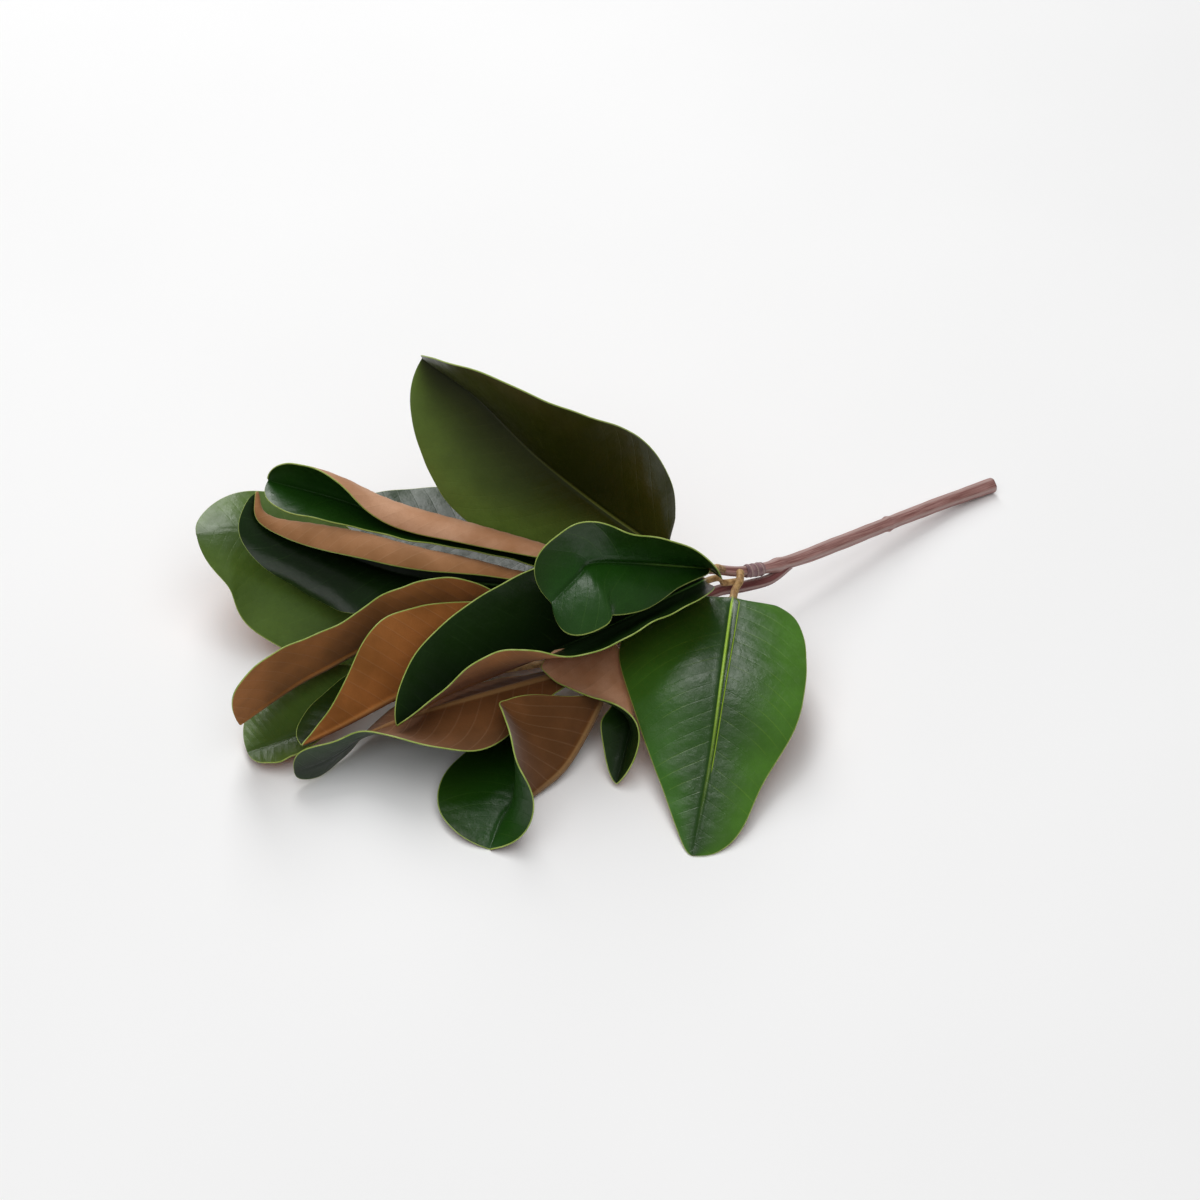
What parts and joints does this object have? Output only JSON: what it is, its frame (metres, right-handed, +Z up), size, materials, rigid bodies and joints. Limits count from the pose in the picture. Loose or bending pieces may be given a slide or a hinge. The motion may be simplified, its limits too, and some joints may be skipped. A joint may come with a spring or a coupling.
{
  "type": "magnolia leaf branch",
  "caption": "Cut magnolia branch lying on its side: a slender stem that forks into short shoots, with a spray of broad glossy leaves, green above and brown felt below.",
  "frame": {"origin": "centre of the bounding box, on the surface it lies on", "axes": "+X towards the cut end of the stem, +Y away from the front, +Z up"},
  "size_m": [0.486, 0.3275, 0.1653],
  "materials": {
    "bark": "smooth reddish-brown bark, satin",
    "tape": "stretched binding tape, dull mauve-brown",
    "leaf": "waxy deep green above, matte brown felt below"
  },
  "bodies": {
    "root": {"main_stem": "bark", "binding": "tape", "leaf_back_tall": "leaf", "leaf_back_low": "leaf", "leaf_rolled_back": "leaf", "leaf_rolled_front": "leaf", "leaf_far_left": "leaf", "leaf_left_upper": "leaf", "leaf_left_middle": "leaf", "leaf_small_left": "leaf", "leaf_boat": "leaf", "leaf_short_top": "leaf", "leaf_face_down": "leaf", "leaf_front_floor": "leaf", "leaf_small_front": "leaf", "leaf_front_right": "leaf"}
  },
  "joints": []
}
